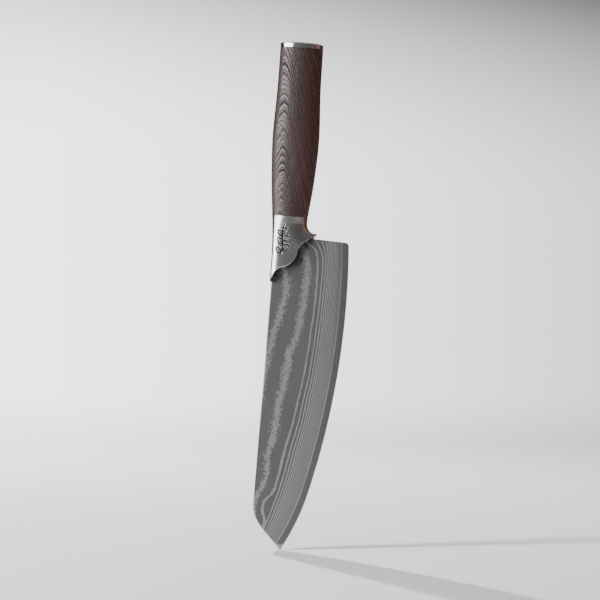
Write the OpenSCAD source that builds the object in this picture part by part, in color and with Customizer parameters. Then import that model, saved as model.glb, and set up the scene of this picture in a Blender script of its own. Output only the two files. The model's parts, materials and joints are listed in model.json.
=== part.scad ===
// Clip-point chef knife with a laminated blade, a sculpted bolster and a hidden-tang wood handle.
// Axes: +Z runs along the spine from the tip to the butt, +X from the spine to the cutting edge,
// and -Y is the left face. The origin is the middle of the grip, on its axis.
// Inside the modules X is measured from the spine line and Z up from the tip.

/* [Blade] */
// Length from the tip to the back of the heel
blade_len = 203; // [200:0.5:206]
// Depth from the spine to the deepest point of the edge
blade_depth = 52.25; // [51.5:0.25:53]
// Height of the deepest point of the edge above the tip
belly_z = 162; // [160:1:164]
// Radius of the long flat curve of the edge
edge_r = 500; // [480:10:520]
// Radius of the edge where it sweeps up to the tip
tip_r = 150; // [145:1:155]
// Angle along the long curve at which the tip curve takes over
tip_angle = 14.25; // [13.75:0.25:14.75]
// Thickness of the blade at the spine
spine_t = 2.5; // [2.2:0.1:2.8]
// Taper of each face from the spine to the edge, in degrees
face_angle = 1.0; // [0.9:0.05:1.1]
// Distal taper of each face towards the tip, in degrees
distal_angle = 0.125; // [0.1:0.005:0.15]
// Height above the tip at which the distal taper starts
distal_z = 165; // [160:1:168]
// Height above the tip at which the spine starts to turn into the clip
clip_z = 27; // [25:0.5:29]
// Roundness of that turn: how far the spine's direction is held
clip_turn = 10; // [7:0.5:11]
// Slope of the clip where it meets the tip, in degrees
clip_angle = 46.5; // [44:0.5:48]
// Radius of the heel corner
heel_r = 2.8; // [2:0.2:3.4]
// Slope of the heel's back edge, which falls towards the edge, in degrees
heel_slope = 2; // [1.5:0.25:2.5]

/* [Laminate] */
// Thickness of the hard core layer
core_t = 0.6; // [0.5:0.05:0.6]
// Width of the core bared along the edge
core_bare = 4.3; // [3.5:0.1:5]
// Thickness left at the very edge
edge_t = 0.08; // [0.05:0.01:0.12]

/* [Tang] */
// Width of the tang at the shoulder
tang_root_w = 10; // [9:0.5:10.5]
// Width of the tang at its end
tang_end_w = 7; // [6.5:0.5:8]
// Length of the tang past its shoulder
tang_len = 57; // [54:1:62]
// Diameter of the forked rod that carries on from the tang
rod_d = 6; // [5.8:0.1:6.2]
// Length over which the rod's fork straddles the tang
fork_len = 12; // [10:1:14]
// Diameter of the rivet through the fork
rivet_d = 2.5; // [2:0.25:3]

/* [Bolster] */
// Height of the wood seam above the back of the heel
seam_rise = 14.2; // [14:0.1:15]
// Thickness of the bolster at the seam
seam_t = 18; // [17:0.25:18.5]
// Thickness of the bolster at the claw
claw_t = 15; // [14:0.25:15.5]
// Distance from the spine line to the tip of the finger guard
beak_x = 28.2; // [27.8:0.1:28.8]
// Radius of the hollow above the finger guard
beak_hollow_r = 6.4; // [6:0.1:6.8]

/* [Handle] */
// Length of the wood
wood_len = 110; // [106:1:114]
// Thickness of the handle at its middle
grip_t = 22; // [21:0.25:23]
// Thickness of the handle at the butt
butt_t = 21; // [20:0.25:22]
// Roundness of the oval section: 2 is an ellipse, higher is squarer
oval = 2.25; // [2:0.05:2.6]

/* [End cap] */
// Height of the cap's straight rim
rim_h = 2.5; // [2:0.1:2.8]
// Rise of the dome above the rim
dome_h = 1.4; // [1:0.1:2]

/* [Fasteners] */
// Diameter of the two dowels between the bolster and the wood
dowel_d = 3; // [2.5:0.25:3]
// Diameter of the two pins that hold the cap
cap_pin_d = 2.5; // [2:0.25:3]
// Width of the butt nut across its flats
nut_af = 10; // [9.5:0.5:10]
// Height of the butt nut
nut_h = 5; // [4:0.5:5]
// Outside diameter of the butt washer
washer_d = 12; // [11.5:0.5:13]
// Thickness of the butt washer
washer_t = 1.6; // [1.2:0.2:1.6]

/* [Hidden] */

ring_n = 40;               // points round an oval section
far = 400;                 // larger than the whole knife
margin = 20;               // how far cutting shapes run past what they cut
fit_gap = 0.03;            // clearance of the blade in its slot in the bolster

// Centres of the two tangent arcs of the edge
edge_c = [blade_depth - edge_r, belly_z];
tip_c = edge_c + (edge_r - tip_r) * [cos(tip_angle), -sin(tip_angle)];
tip_start = asin(-tip_c[1] / tip_r);
tip_x = tip_c[0] + tip_r * cos(tip_start);
heel_c = [edge_c[0] + sqrt(pow(edge_r - heel_r, 2) - pow(blade_len - heel_r - belly_z, 2)),
          blade_len - heel_r];
heel_start = asin((heel_c[1] - belly_z) / (edge_r - heel_r));

// The grip: its axis and the heights of its ends above the tip
grip_x = 8.5;
seam_z = blade_len + seam_rise;
butt_z = seam_z + wood_len;
grip_z = (seam_z + butt_z) / 2;

// The tang and the bore around it
tang_x = grip_x + 1;
shoulder_z = blade_len + 1.4;
tang_z = shoulder_z + tang_len;
bore_d = rod_d + 2;
bore_z = tang_z - fork_len - 2;
slot_w = tang_root_w + 2;
slot_t = 4.4;

// The butt: the nut and washer sit in a counterbore that the cap closes
sink_d = 14;
sink_h = 9;
rod_end = 1.2;
cap_c = 7.6;
cap_pin_reach = 10.4;
cap_pin_sink = 2;
cap_pin_len = 9;

// The dowels: how far they go into the steel and the wood
dowel_x = [0.6, 17.8];
dowel_in = 6;
dowel_out = 10;

// Stations up the handle: fraction of the wood's length, back of the grip, belly of the grip
GRIP = [[0, -2.9, 20.7], [0.2, -5.2, 22.95], [0.46, -7.0, 24.1],
        [0.75, -6.4, 22.35], [1, -6.6, 21.7]];

// Points along an arc, and along a cubic curve
function arc(c, r, a0, a1, n) = [for (i = [0:n]) c + r * [cos(a0 + (a1 - a0) * i / n),
                                                        sin(a0 + (a1 - a0) * i / n)]];
function curve(a, b, c, d, n) = [for (i = [0:n]) let (t = i / n, s = 1 - t)
    s * s * s * a + 3 * s * s * t * b + 3 * s * t * t * c + t * t * t * d];
// A list without its first point, in reverse order if asked
function rest(v, back = false) = [for (i = [1:len(v) - 1]) back ? v[len(v) - i] : v[i]];
function blend(a, b, t) = a + (b - a) * t;
function ease(t) = t * t * (3 - 2 * t);

// Smooth interpolation of one column of a station list at u, with slopes from the neighbours
function slope(s, i, k) = let (a = max(i - 1, 0), b = min(i + 1, len(s) - 1))
    (s[b][k] - s[a][k]) / (s[b][0] - s[a][0]);
function span(s, u, i = 0) = i >= len(s) - 2 || u <= s[i + 1][0] ? i : span(s, u, i + 1);
function along(s, u, k) = let (i = span(s, u), w = s[i + 1][0] - s[i][0], t = (u - s[i][0]) / w)
    blend(s[i][k], s[i + 1][k], ease(t)) + w * t * (1 - t)
    * (slope(s, i, k) * (1 - t) - slope(s, i + 1, k) * t);

// One oval section between a back and a belly line, whose back half can be squarer
function signed_pow(v, p) = sign(v) * pow(abs(v), p);
function oval_ring(back, belly, t, z, square = oval) = [for (i = [0:ring_n - 1])
    let (a = 360 * i / ring_n, p = 2 / (cos(a) < 0 ? square : oval))
    [(back + belly) / 2 + (belly - back) / 2 * signed_pow(cos(a), p), t / 2 * signed_pow(sin(a), p), z]];

// Handle section at a fraction u of the wood's length
function grip_t_at(u) = u < 0.5 ? blend(seam_t, grip_t, ease(2 * u)) : blend(grip_t, butt_t, ease(2 * u - 1));
function grip_ring(u) = oval_ring(along(GRIP, u, 1), along(GRIP, u, 2), grip_t_at(u), seam_z + u * wood_len);

// Bolster section at height z: square-backed and almost flush with the spine at the claw, as oval as
// the wood at the seam, and hollowed above the finger guard
claw_z = blade_len - 29.2;
beak_z = blade_len + 4;
beak_tip = 0.2;            // blunt height of the guard's tip
hollow_z = beak_z + beak_tip + beak_hollow_r;
neck_x = GRIP[0][2];
claw_proud = 0.15;
claw_square = 10;
function rise(z) = min(1, max(0, (z - claw_z) / (seam_z - claw_z)));
function back_at(z) = blend(-claw_proud, GRIP[0][1], pow(rise(z), 3));
function square_at(z) = blend(claw_square, oval, pow(rise(z), 3));
function belly_at(z) = let (d = hollow_z - z, c = neck_x + beak_hollow_r)
    d <= 0 ? neck_x : d < beak_hollow_r ? c - sqrt(pow(beak_hollow_r, 2) - d * d) : beak_x;
function bolster_ring(z) = oval_ring(back_at(z), belly_at(z), blend(claw_t, seam_t, rise(z)), z, square_at(z));

// Front of the bolster in three sweeps: finger guard, corner and claw
neck = [18.8, blade_len - 9];
corner = [9.5, blade_len - 19.8];
claw = [0.4, claw_z];
WAVE = concat(
    curve([beak_x, beak_z], [24.5, blade_len - 1.5], neck + [0.5, 5.5], neck, 12),
    rest(curve(neck, neck - [0.3, 5], corner + [4, 0.6], corner, 10)),
    rest(curve(corner, corner - [3.5, 0.6], claw + [3.4, 5.2], claw, 10)));

// Side outline of the blade with its tang, from the tip round by the edge
clip_hold = 12;
OUTLINE = concat(
    arc(tip_c, tip_r, tip_start, -tip_angle, 16),
    rest(arc(edge_c, edge_r, -tip_angle, heel_start, 36)),
    rest(arc(heel_c, heel_r, heel_start, 90 - heel_slope, 8)),
    [[tang_x + tang_root_w / 2, shoulder_z], [grip_x + tang_end_w / 2, tang_z],
     [grip_x - tang_end_w / 2, tang_z], [tang_x - tang_root_w / 2, shoulder_z], [0, shoulder_z]],
    rest(curve([tip_x, 0], [tip_x, 0] + clip_hold * [-cos(clip_angle), sin(clip_angle)],
               [0, clip_z - clip_turn], [0, clip_z], 16), true));

// Length over which the bolster's slot is open at the back
open_slot = 20;

// Everything is designed from the tip and the spine line, then moved to the grip
module placed() translate([-grip_x, 0, -grip_z]) children();

// A flat shape in X and Z, thickened evenly about the middle plane
module slab(t) rotate([90, 0, 0]) linear_extrude(t, center = true) children();

// A round piece that stands along Z
module post(d, x, z, h) translate([x, 0, z]) cylinder(d = d, h = h, $fn = 48);

// A skin of triangles over a stack of rings
module loft(rings) {
    n = len(rings[0]);
    m = len(rings);
    sides = [for (j = [0:m - 2], i = [0:n - 1]) let (a = j * n + i, b = j * n + (i + 1) % n)
        each [[a, a + n, b], [b, a + n, b + n]]];
    polyhedron(points = [for (r = rings) each r],
               faces = concat(sides, [[for (i = [0:n - 1]) i]],
                              [[for (i = [n - 1:-1:0]) (m - 1) * n + i]]));
}

// The space between the two ground faces of the blade, with an extra gap on each
module between_faces(gap = 0) intersection() {
    behind_left_face(gap);
    mirror([0, 1, 0]) behind_left_face(gap);
}
module behind_left_face(gap) intersection() {
    translate([0, -spine_t / 2 - gap, distal_z]) rotate([0, 0, face_angle])
        translate([-far, 0, -far]) cube(2 * far);
    translate([0, -spine_t / 2 - gap, distal_z]) rotate([distal_angle, 0, face_angle])
        translate([-far, 0, -far]) cube(2 * far);
}

// Inside of the line where the outer layers stop short of the edge
module layer_zone() polygon(concat(
    [[-margin, -margin]],
    arc(tip_c, tip_r - core_bare, tip_start - 6, -tip_angle, 20),
    rest(arc(edge_c, edge_r - core_bare, -tip_angle, heel_start + 1, 36)),
    [[blade_depth + margin, tang_z + margin], [-margin, tang_z + margin]]));

// Ring of the bared core, thinning from the core's thickness to the edge
module edge_ring(c, r) translate([c[0], 0, c[1]]) rotate([90, 0, 0])
    rotate_extrude($fn = 1440) polygon([[r - core_bare - 0.5, -core_t / 2], [r - core_bare, -core_t / 2],
        [r, -edge_t / 2], [r, edge_t / 2], [r - core_bare, core_t / 2], [r - core_bare - 0.5, core_t / 2]]);

module blade_core() color("#6e6e70") placed() {
    difference() {
        union() {
            slab(core_t) intersection() {
                polygon(OUTLINE);
                layer_zone();
            }
            intersection() {
                slab(core_t) polygon(OUTLINE);
                union() {
                    edge_ring(edge_c, edge_r);
                    edge_ring(tip_c, tip_r);
                }
            }
        }
        rivet_hole();
    }
}
module cladding(side) difference() {
    intersection() {
        slab(spine_t + 1) intersection() {
            polygon(OUTLINE);
            layer_zone();
        }
        between_faces();
        translate([-far / 2, side > 0 ? core_t / 2 : -far - core_t / 2, -far / 2]) cube(far * [1, 1, 1.5]);
    }
    rivet_hole();
}
module cladding_left() color("#77777a") placed() cladding(-1);
module cladding_right() color("#77777a") placed() cladding(1);

// The blade's space as the bolster, fork and bedding see it
module blade_space(gap) intersection() {
    slab(spine_t + 2) polygon(OUTLINE);
    between_faces(gap);
}
module rivet_hole() translate([grip_x, 0, tang_z - fork_len / 2]) rotate([90, 0, 0])
    cylinder(d = rivet_d, h = bore_d, center = true, $fn = 32);

module bolster() color("#8f8d8a") placed() difference() {
    intersection() {
        loft([for (z = concat([for (i = [0:5]) blend(claw_z - 1, beak_z, i / 5)],
                              [for (i = [1:8]) blend(beak_z, hollow_z, 1 - cos(90 * i / 8))],
                              [for (i = [1:3]) blend(hollow_z, seam_z, i / 3)])) bolster_ring(z)]);
        slab(2 * seam_t) polygon(concat(WAVE, [[-margin, claw_z], [-margin, seam_z + 1], [2 * beak_x, seam_z + 1],
                                               [2 * beak_x, beak_z + 0.1]]));
    }
    blade_space(fit_gap);
    // the slot is open behind the spine as far as the blade's own length needs
    slab(spine_t + 2 * fit_gap) translate([-5, claw_z - 2]) square([6, open_slot]);
    dowel_posts();
}

module dowel_posts() for (x = dowel_x) post(dowel_d, x, seam_z - dowel_in, dowel_in + dowel_out);
module cap_pin_posts() for (s = [-1, 1])
    post(cap_pin_d, cap_c + s * cap_pin_reach, butt_z + cap_pin_sink - cap_pin_len, cap_pin_len);

// Hollow of the wood: a slot for the tang, a bore for the rod and a counterbore for the nut
module tang_slot() {
    translate([tang_x - slot_w / 2, -slot_t / 2, seam_z]) cube([slot_w, slot_t, tang_z - seam_z]);
    post(bore_d, grip_x, bore_z, butt_z - sink_h - bore_z);
}
module handle() color("#4a3430") placed() difference() {
    loft([for (i = [0:18]) grip_ring(i / 18)]);
    tang_slot();
    post(sink_d, grip_x, butt_z - sink_h, sink_h + 1);
    dowel_posts();
    cap_pin_posts();
}

module tang_rod() color("#9a9a98") placed() difference() {
    post(rod_d, grip_x, tang_z - fork_len, butt_z - rod_end - tang_z + fork_len);
    blade_space(0);
    rivet_hole();
}
module rod_rivet() color("#b09a6a") placed() translate([grip_x, 0, tang_z - fork_len / 2])
    rotate([90, 0, 0]) cylinder(d = rivet_d, h = rod_d - 1, center = true, $fn = 32);
module tang_bedding() color("#c8b48a") placed() difference() {
    tang_slot();
    blade_space(0);
    post(rod_d, grip_x, tang_z - fork_len, 2 * tang_len);
}

module butt_washer() color("#a8a8a6") placed() difference() {
    post(washer_d, grip_x, butt_z - sink_h, washer_t);
    post(rod_d, grip_x, butt_z - sink_h - 1, washer_t + 2);
}
module butt_nut() color("#a8a8a6") placed() difference() {
    translate([grip_x, 0, butt_z - sink_h + washer_t])
        cylinder(d = nut_af / cos(30), h = nut_h, $fn = 6);
    post(rod_d, grip_x, butt_z - sink_h, nut_h + 4);
}

// Cap: a straight rim, then a dome that rolls over from the rim
module end_cap() color("#c9c8c5") placed() {
    half = [(GRIP[4][2] - GRIP[4][1]) / 2, butt_t / 2];
    centre = (GRIP[4][2] + GRIP[4][1]) / 2;
    difference() {
        loft([for (i = [0:8]) let (a = max(0, (i - 1) * 90 / 7), in = 1 - 0.985 * (1 - pow(cos(a), 0.6)))
            oval_ring(centre - half[0] * in, centre + half[0] * in, 2 * half[1] * in,
                      butt_z + (i == 0 ? 0 : rim_h + dome_h * sin(a)))]);
        cap_pin_posts();
    }
}
module cap_pins() color("#a8a8a6") placed() cap_pin_posts();
module handle_dowels() color("#a8a8a6") placed() dowel_posts();

blade_core();
cladding_left();
cladding_right();
bolster();
handle();
end_cap();
tang_rod();
rod_rivet();
handle_dowels();
tang_bedding();
butt_washer();
butt_nut();
cap_pins();
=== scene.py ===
import json
import math

import bmesh
import bpy
import numpy as np
from mathutils import Matrix, Vector

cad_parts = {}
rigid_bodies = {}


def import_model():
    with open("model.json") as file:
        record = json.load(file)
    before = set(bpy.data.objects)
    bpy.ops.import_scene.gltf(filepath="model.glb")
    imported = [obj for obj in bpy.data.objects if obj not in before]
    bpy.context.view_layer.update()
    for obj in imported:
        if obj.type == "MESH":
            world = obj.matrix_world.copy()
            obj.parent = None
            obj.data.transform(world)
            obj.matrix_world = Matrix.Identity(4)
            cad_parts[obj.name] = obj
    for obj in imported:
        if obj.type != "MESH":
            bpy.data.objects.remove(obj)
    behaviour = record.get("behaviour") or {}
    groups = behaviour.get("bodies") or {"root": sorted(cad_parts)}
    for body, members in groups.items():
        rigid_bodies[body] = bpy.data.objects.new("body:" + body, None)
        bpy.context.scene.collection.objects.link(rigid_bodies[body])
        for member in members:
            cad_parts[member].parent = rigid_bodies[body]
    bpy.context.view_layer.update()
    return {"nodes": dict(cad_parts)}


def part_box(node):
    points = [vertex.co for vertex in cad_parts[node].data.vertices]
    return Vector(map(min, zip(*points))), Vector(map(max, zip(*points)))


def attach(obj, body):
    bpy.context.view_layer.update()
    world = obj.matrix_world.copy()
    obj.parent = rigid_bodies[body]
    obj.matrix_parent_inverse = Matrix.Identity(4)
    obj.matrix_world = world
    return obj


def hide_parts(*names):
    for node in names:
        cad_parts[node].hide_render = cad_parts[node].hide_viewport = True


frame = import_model()

# ---------------------------------------------------------------- frame and units
# Shapes are worked out in millimetres from the spine line (x), the middle plane (y) and the tip (z).
MM = 0.001
SPINE_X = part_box("blade_core")[0].x
TIP_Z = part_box("blade_core")[0].z
SEAM_Z = (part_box("handle")[0].z - TIP_Z) / MM
BUTT_Z = (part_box("handle")[1].z - TIP_Z) / MM
CAP_TOP = (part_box("end_cap")[1].z - TIP_Z) / MM
CLAW_Z = (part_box("bolster")[0].z - TIP_Z) / MM

# Blade
LENGTH, BELLY_Z = 203.0, 162.0       # heel, and the height at which the edge is furthest from the spine
DEPTH = (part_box("blade_core")[1].x - SPINE_X) / MM
EDGE_R, TIP_R, TIP_ANGLE = 500.0, 150.0, math.radians(14.25)
HEEL_R, SHOULDER = 2.8, 204.4
SPINE_T, FACE_TAPER, DISTAL_TAPER, DISTAL_Z = 2.5, math.radians(1.0), math.radians(0.125), 165.0
CORE_HALF, CORE_BARE, EDGE_HALF = 0.27, 4.3, 0.04
CLIP = ((0.0, 27.0), (0.0, 17.0), (8.26, 8.7))                # the last one's x is back from the tip
TANG = ((SHOULDER, 4.5, 14.5), (SHOULDER + 57, 5.0, 12.0))    # height, back and front of the tang

# Bolster
BEAK, BEAK_TIP = (28.2, LENGTH + 4), 0.2       # the finger guard's point and its blunt height
HOLLOW_R, NECK_X = 6.4, 20.7                   # the hollow above the guard, and the belly side above that
HOLLOW_Z = BEAK[1] + BEAK_TIP + HOLLOW_R
BEAK_DARK = 1.5                                # painted shade: the guard's tip is painted dark over this much
SEAM_T, CLAW_T = 18.0, 15.0
CLAW_PROUD, CLAW_SQUARE = 0.15, 4.2            # at the claw: reach behind the spine, squareness of the back
CROWN_X, CROWN_REACH = 4.0, 28.0               # the cheeks fall away on both sides of this line
DRAFT = 0.95                                   # how far the front wall leans out from foot to rim
LIP_R, LIP_SHARE = 0.45, 0.45                  # the lip's round, and its largest share of the wall
BOLSTER_COLS, BOLSTER_ROWS, LIP_ROWS = 480, 190, 6
WALL_ROWS = 26                                 # rows of the front wall, the lip's last one included
LIP_CLEAR = 3                                  # rows of the cheek that make way for the lip
SLOT_FIT, SLOT_BEHIND, SLOT_BELOW = 0.03, 6, 3     # play round the blade; how far the cutter runs out

# Grip: fraction of its length, back, belly; thickness in its middle and at the butt; roundness of its oval
GRIP = ((0, -2.9, 20.7), (0.2, -5.2, 22.95), (0.46, -7.0, 24.1), (0.75, -6.4, 22.35), (1, -6.6, 21.7))
GRIP_T, BUTT_T, OVAL = 22.0, 21.0, 2.25
GRIP_COLS, GRIP_ROWS = 200, 260
EDGE_BREAK, BREAK_FADE = 0.12, 0.3             # the wood draws in by this much at its ends, over this height
WIDEST_X = (GRIP[0][1] + GRIP[0][2]) / 2       # the bolster is thickest along this line
CAP_RIM, CAP_BREAK = 2.5, (0.03, 0.02)         # height of the cap's rim; its broken lower edge, in and up
DOME_REACH, DOME_ROUND, DOME_END = 0.985, 0.6, 0.015

# ---------------------------------------------------------------- camera
TURN, LEAN = math.radians(18.0), math.radians(4.716)          # turn of the left face, lean of the spine
CAM_RIGHT = Vector((math.cos(TURN) * math.cos(LEAN), math.sin(TURN) * math.cos(LEAN), math.sin(LEAN)))
CAM_UP = Vector((-math.cos(TURN) * math.sin(LEAN), -math.sin(TURN) * math.sin(LEAN), math.cos(LEAN)))
CAM_LOOK = Vector((-math.sin(TURN), math.cos(TURN), 0))
CAM_DISTANCE, CAM_LENS, CAM_SENSOR, CAM_ASIDE, CAM_HEIGHT = 1.861, 171.3, 36.0, 0.01306, 0.163


def place(points):
    """Millimetres from spine, middle plane and tip to metres in the shared frame."""
    return np.asarray(points, float) * MM + np.array([SPINE_X, 0.0, TIP_Z])


def tip_point():
    return Vector(place([edge_x(np.array([0.0]))[0], 0, 0]))


def make_camera():
    data = bpy.data.cameras.new("camera")
    data.lens = CAM_LENS
    data.sensor_width = CAM_SENSOR
    data.clip_end = 60
    camera = bpy.data.objects.new("camera", data)
    bpy.context.scene.collection.objects.link(camera)
    middle = tip_point() + CAM_RIGHT * CAM_ASIDE + CAM_UP * CAM_HEIGHT
    turn = Matrix((CAM_RIGHT, CAM_UP, -CAM_LOOK)).transposed().to_4x4()
    camera.matrix_world = Matrix.Translation(middle - CAM_LOOK * CAM_DISTANCE) @ turn
    bpy.context.scene.camera = camera


# ---------------------------------------------------------------- curves of the knife
def ease(t):
    """Goes smoothly from 0 to 1, and stays there."""
    t = np.clip(t, 0, 1)
    return t * t * (3 - 2 * t)


def cubic(a, b, c, d, n):
    """A Bezier curve as n points."""
    t = np.linspace(0, 1, n)[:, None]
    s = 1 - t
    a, b, c, d = (np.array(p, float) for p in (a, b, c, d))
    return s**3 * a + 3 * s * s * t * b + 3 * s * t * t * c + t**3 * d


EDGE_C = np.array([DEPTH - EDGE_R, BELLY_Z])
TIP_C = EDGE_C + (EDGE_R - TIP_R) * np.array([math.cos(TIP_ANGLE), -math.sin(TIP_ANGLE)])


def edge_x(z, inset=0.0):
    """How far the cutting edge is from the spine line at height z, or a line a constant gap inside it."""
    long_r, tip_r = EDGE_R - inset, TIP_R - inset
    join = BELLY_Z - long_r * math.sin(TIP_ANGLE)
    long_arc = EDGE_C[0] + np.sqrt(np.maximum(long_r**2 - (z - EDGE_C[1]) ** 2, 0))
    tip_arc = TIP_C[0] + np.sqrt(np.maximum(tip_r**2 - (z - TIP_C[1]) ** 2, 0))
    return np.where(z > join, long_arc, tip_arc)


def heel_x(z):
    """The edge with its rounded heel corner."""
    corner_x = EDGE_C[0] + math.sqrt((EDGE_R - HEEL_R) ** 2 - (LENGTH - HEEL_R - BELLY_Z) ** 2)
    over = np.clip(z - (LENGTH - HEEL_R), 0, HEEL_R)
    return np.where(over > 0, corner_x + np.sqrt(HEEL_R**2 - over**2), edge_x(z))


def edge_gap(x, z):
    """Distance from a point on the blade to the cutting edge."""
    long_gap = EDGE_R - np.hypot(x - EDGE_C[0], z - EDGE_C[1])
    tip_gap = TIP_R - np.hypot(x - TIP_C[0], z - TIP_C[1])
    below = np.arctan2(EDGE_C[1] - z, x - EDGE_C[0]) > TIP_ANGLE
    return np.maximum(np.where(below, tip_gap, long_gap), 0)


TIP_X = float(edge_x(np.array([0.0]))[0])
CLIP_CURVE = cubic(CLIP[0], CLIP[1], (TIP_X - CLIP[2][0], CLIP[2][1]), (TIP_X, 0), 200)[::-1]
CLIP_LEAN = np.gradient(CLIP_CURVE[:, 0], CLIP_CURVE[:, 1])


def spine_x(z):
    """The spine and the clip: the back outline of the blade."""
    return np.where(z < CLIP[0][1], np.interp(z, CLIP_CURVE[:, 1], CLIP_CURVE[:, 0]), 0.0)


def back_gap(x, z):
    """Distance from a point on the blade to the spine or the clip."""
    row = np.clip(np.searchsorted(CLIP_CURVE[:, 1], z), 0, len(CLIP_CURVE) - 1)
    lean = np.where(z < CLIP[0][1], CLIP_LEAN[row], 0.0)
    return np.maximum(x - spine_x(z), 0) / np.sqrt(1 + lean**2)


def soft_min(a, b, k):
    """The smaller of two values, with a round of size k where they cross."""
    h = np.clip(0.5 + 0.5 * (b - a) / k, 0, 1)
    return b + (a - b) * h - k * h * (1 - h)


def half_thickness(x, z):
    """Half the blade's thickness: flat ground, rolled in to the edge, with a crowned spine and clip."""
    flat = SPINE_T / 2 - x * math.tan(FACE_TAPER) - np.maximum(DISTAL_Z - z, 0) * math.tan(DISTAL_TAPER)
    core_clear, roll = 0.03, 0.06
    bevel = EDGE_HALF + (CORE_HALF + core_clear - EDGE_HALF) * edge_gap(x, z) / CORE_BARE
    body = soft_min(flat, bevel, roll)
    clip_reach, spine_reach, crown_depth, crown_round = 0.9, 0.45, 0.55, 1.6
    reach = np.where(z < CLIP[0][1], clip_reach, spine_reach)
    crown = 1 - crown_depth * (1 - np.clip(back_gap(x, z) / reach, 0, 1)) ** crown_round
    return body * np.where(z < LENGTH, crown, 1)


# ---------------------------------------------------------------- mesh tools
SHARP, BLADE_SHARP, BOLSTER_SHARP = math.radians(35), math.radians(30), math.radians(28)
MERGE_DISTANCE, FLAT_DISTANCE = 2e-6, 1e-7


def new_piece(name, verts, faces, material, body="root", slot=None, replaces=()):
    """One smooth-shaded mesh from millimetres, tied to its body and the CAD node it replaces. Its slot is
    not used.
    """
    mesh = bpy.data.meshes.new(name)
    mesh.from_pydata([tuple(v) for v in place(verts)], [], [tuple(f) for f in faces])
    mesh.validate()
    piece = bpy.data.objects.new(name, mesh)
    bpy.context.scene.collection.objects.link(piece)
    mesh.materials.append(material)
    mesh.shade_smooth()
    mesh.set_sharp_from_angle(angle=SHARP)
    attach(piece, body)
    if replaces:
        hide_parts(*replaces)
    return piece


def set_values(piece, **values):
    """Stores one number a vertex for the shaders to read."""
    for name, data in values.items():
        layer = piece.data.attributes.new(name, "FLOAT", "POINT")
        layer.data.foreach_set("value", np.asarray(data, np.float32))


def grid_faces(rows, cols, start=0, closed=False, flip=False):
    """Quads over a grid of vertices; closed joins the last column to the first."""
    i, j = np.meshgrid(np.arange(rows - 1), np.arange(cols if closed else cols - 1), indexing="ij")
    a = start + i * cols + j
    b = start + i * cols + (j + 1) % cols
    quads = np.stack([a, b, b + cols, a + cols], -1).reshape(-1, 4)
    return (quads[:, ::-1] if flip else quads).tolist()


def merge_and_close(piece):
    """Joins coincident vertices, drops the faces that this collapses and points all faces outwards."""
    bm = bmesh.new()
    bm.from_mesh(piece.data)
    bmesh.ops.remove_doubles(bm, verts=bm.verts, dist=MERGE_DISTANCE)
    bmesh.ops.dissolve_degenerate(bm, dist=FLAT_DISTANCE, edges=bm.edges)
    bmesh.ops.recalc_face_normals(bm, faces=bm.faces)
    bm.to_mesh(piece.data)
    bm.free()


def ring_loft(rings, **kw):
    """A closed skin over a stack of equal rings, with a flat cap on each end."""
    rows, cols = len(rings), len(rings[0])
    faces = grid_faces(rows, cols, closed=True)
    faces += [list(range(cols))[::-1], [(rows - 1) * cols + k for k in range(cols)]]
    return new_piece(verts=np.concatenate(rings), faces=faces, **kw)


def oval_ring(back, belly, thick, z, angles, widest=None, square=OVAL, crown=0.0):
    """One oval section by direction from its widest line, which is the middle unless given. The back part
    can be squarer than the belly part, and the cheeks can be crowned about the line CROWN_X."""
    middle = (back + belly) / 2 if widest is None else widest
    is_back = np.cos(angles) < 0
    a = np.where(is_back, middle - back, belly - middle)
    n = np.where(is_back, square, OVAL)
    r = (np.abs(np.cos(angles) / a) ** n + np.abs(np.sin(angles) / (thick / 2)) ** n) ** (-1 / n)
    x = middle + r * np.cos(angles)
    draw = 1 - crown * ((x - CROWN_X) / CROWN_REACH) ** 2
    return np.stack([x, r * np.sin(angles) * draw, z + 0 * r], -1)


# ---------------------------------------------------------------- blade
BLADE_COLS = 84
RIM_W, RIM_FADE = 0.55, 0.2         # painted highlight: a thin light rim along the clip
POINT_H, POINT_FADE = 4.2, 0.8      # and the very point
EDGE_WAVE = 0.04                    # how much the outer layers' ground line waves


def blade_rows(lowest):
    """Heights of the rows of the blade's grid, closer together where the outline turns."""
    near_tip = np.linspace(lowest, 30, 46)
    middle = np.linspace(30, LENGTH - HEEL_R, 130)[1:]
    heel = LENGTH - HEEL_R + HEEL_R * np.sin(np.linspace(0, math.pi / 2, 9))[1:]
    return np.concatenate([near_tip, middle, heel])


def sheet_points(z, left, right):
    """A grid of x and z between two outlines, with its columns crowded towards both of them."""
    t = np.linspace(0, 1, BLADE_COLS)
    t = 0.5 * t + 0.25 * (1 - np.cos(math.pi * t))
    x = left[:, None] + (right - left)[:, None] * t[None]
    return x, np.repeat(z[:, None], BLADE_COLS, 1)


def with_tang(x, z):
    """Adds the tang's rows to a grid of the blade."""
    t = np.linspace(0, 1, BLADE_COLS)
    rows = [(SHOULDER + f * (TANG[1][0] - SHOULDER), f) for f in (0, 0.1, 0.5, 1)]
    tang_x = [(TANG[0][1] + f * (TANG[1][1] - TANG[0][1])) * (1 - t)
              + (TANG[0][2] + f * (TANG[1][2] - TANG[0][2])) * t for _, f in rows]
    return np.vstack([x, tang_x]), np.vstack([z, [np.full(BLADE_COLS, h) for h, _ in rows]])


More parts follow.
